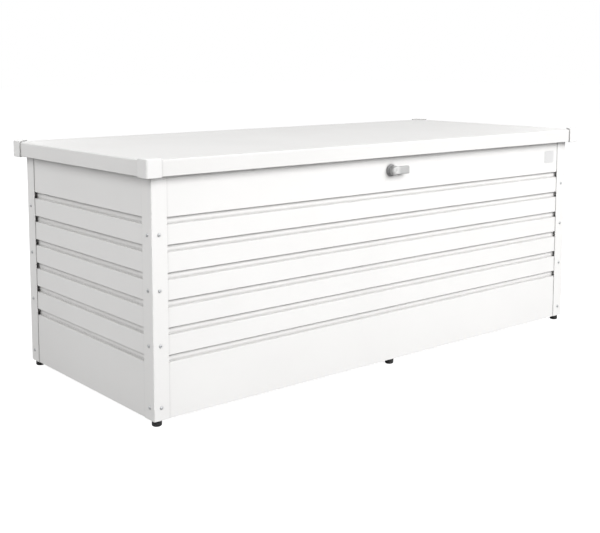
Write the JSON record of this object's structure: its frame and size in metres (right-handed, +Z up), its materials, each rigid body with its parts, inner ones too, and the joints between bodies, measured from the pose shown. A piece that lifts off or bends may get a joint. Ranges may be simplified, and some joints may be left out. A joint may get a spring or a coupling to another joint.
{
  "type": "garden storage box",
  "caption": "Long white sheet-steel storage box with grooved walls, a hinged lid with corner caps, gas struts and a turning lock with locking rods.",
  "frame": {"origin": "on the ground under the middle of the box, with the lid shut", "axes": "+X along the box's length, to the right as seen from the front; +Y from the front wall to the hinges; +Z up"},
  "size_m": [1.81, 0.79, 0.71],
  "materials": {
    "painted_sheet": "smooth white powder coat",
    "painted_lid": "smooth white powder coat",
    "post_paint": "smooth white powder coat",
    "cap_plastic": "satin moulded plastic",
    "galvanised": "zinc coated",
    "zinc_screw": "zinc plated",
    "steel": "polished",
    "strut_paint": "black paint",
    "foot_rubber": "matt black",
    "seal_rubber": "matt dark grey",
    "handle_plastic": "light grey moulded",
    "rosette_plastic": "dark grey moulded",
    "plug_metal": "turned",
    "badge_metal": "blank, satin"
  },
  "bodies": {
    "box": {"front_panel": "painted_sheet", "back_panel": "painted_sheet", "left_side_panel": "painted_sheet", "right_side_panel": "painted_sheet", "wall_rims": "painted_sheet", "corner_post_front_left": "post_paint", "corner_post_front_right": "post_paint", "corner_post_back_left": "post_paint", "corner_post_back_right": "post_paint", "front_base_rail": "galvanised", "back_base_rail": "galvanised", "left_base_rail": "galvanised", "right_base_rail": "galvanised", "cross_rails": "galvanised", "floor_panel_left": "galvanised", "floor_panel_right": "galvanised", "foot_front_left": "foot_rubber", "foot_front_middle": "foot_rubber", "foot_front_right": "foot_rubber", "foot_back_left": "foot_rubber", "foot_back_middle": "foot_rubber", "foot_back_right": "foot_rubber", "post_screws": "zinc_screw", "post_and_foot_nuts": "zinc_screw", "mouth_seal": "seal_rubber", "hinge_wall_leaf_left": "galvanised", "hinge_wall_leaf_middle": "galvanised", "hinge_wall_leaf_right": "galvanised", "hinge_pins": "zinc_screw", "hinge_rivets": "zinc_screw", "strut_wall_bracket_left": "zinc_screw", "strut_wall_bracket_right": "zinc_screw", "lock_case": "galvanised", "lock_rosette": "rosette_plastic", "rod_guides": "handle_plastic", "badge_plate": "badge_metal"},
    "lid": {"lid_sheet": "painted_lid", "lid_ribs": "painted_sheet", "lid_cap_front_left": "cap_plastic", "lid_cap_front_right": "cap_plastic", "lid_cap_back_left": "cap_plastic", "lid_cap_back_right": "cap_plastic", "hinge_lid_leaf_left": "galvanised", "hinge_lid_leaf_middle": "galvanised", "hinge_lid_leaf_right": "galvanised", "strut_lid_bracket_left": "painted_sheet", "strut_lid_bracket_right": "painted_sheet", "keeper_left": "painted_sheet", "keeper_right": "painted_sheet"},
    "strut_tube_left": {"strut_cylinder_left": "strut_paint"},
    "strut_piston_left": {"strut_rod_left": "steel"},
    "strut_tube_right": {"strut_cylinder_right": "strut_paint"},
    "strut_piston_right": {"strut_rod_right": "steel"},
    "handle": {"lock_handle": "handle_plastic", "lock_spindle": "zinc_screw", "lock_cam": "zinc_screw"},
    "key_plug": {"lock_plug": "plug_metal"},
    "rod_left": {"locking_rod_left": "zinc_screw"},
    "rod_right": {"locking_rod_right": "zinc_screw"}
  },
  "joints": [
    {"name": "lid_hinge", "type": "hinge", "parent": "box", "child": "lid", "pos_m": [0, 0.378, 0.665], "axis": [-1, 0, 0], "range_deg": [0, 75]},
    {"name": "strut_swing_left", "type": "hinge", "parent": "box", "child": "strut_tube_left", "pos_m": [-0.832, 0.19, 0.436], "axis": [-1, 0, 0], "range_deg": [0, 11.28]},
    {"name": "strut_slide_left", "type": "slide", "parent": "strut_tube_left", "child": "strut_piston_left", "axis": [0, 0.2644, 0.9644], "range_m": [0, 0.13414]},
    {"name": "strut_swing_right", "type": "hinge", "parent": "box", "child": "strut_tube_right", "pos_m": [0.832, 0.19, 0.436], "axis": [-1, 0, 0], "range_deg": [0, 11.28]},
    {"name": "strut_slide_right", "type": "slide", "parent": "strut_tube_right", "child": "strut_piston_right", "axis": [0, 0.2644, 0.9644], "range_m": [0, 0.13414]},
    {"name": "handle_turn", "type": "hinge", "parent": "box", "child": "handle", "pos_m": [-0.018, -0.38, 0.618], "axis": [0, 1, 0], "range_deg": [0, 90]},
    {"name": "plug_turn", "type": "hinge", "parent": "handle", "child": "key_plug", "pos_m": [-0.018, -0.385, 0.618], "axis": [0, 1, 0], "range_deg": [0, 90]},
    {"name": "locking_rod_left", "type": "slide", "parent": "box", "child": "rod_left", "axis": [-1, 0, 0], "range_m": [0, 0.02829]},
    {"name": "locking_rod_right", "type": "slide", "parent": "box", "child": "rod_right", "axis": [1, 0, 0], "range_m": [0, 0.02829]}
  ],
  "couplings": [
    {"joint": "strut_swing_left", "follows": "lid_hinge", "ratio": 0.15042},
    {"joint": "strut_slide_left", "follows": "lid_hinge", "m_per_rad": 0.10247},
    {"joint": "strut_swing_right", "follows": "lid_hinge", "ratio": 0.15042},
    {"joint": "strut_slide_right", "follows": "lid_hinge", "m_per_rad": 0.10247},
    {"joint": "locking_rod_left", "follows": "handle_turn", "m_per_rad": 0.018006},
    {"joint": "locking_rod_right", "follows": "handle_turn", "m_per_rad": 0.018006}
  ]
}
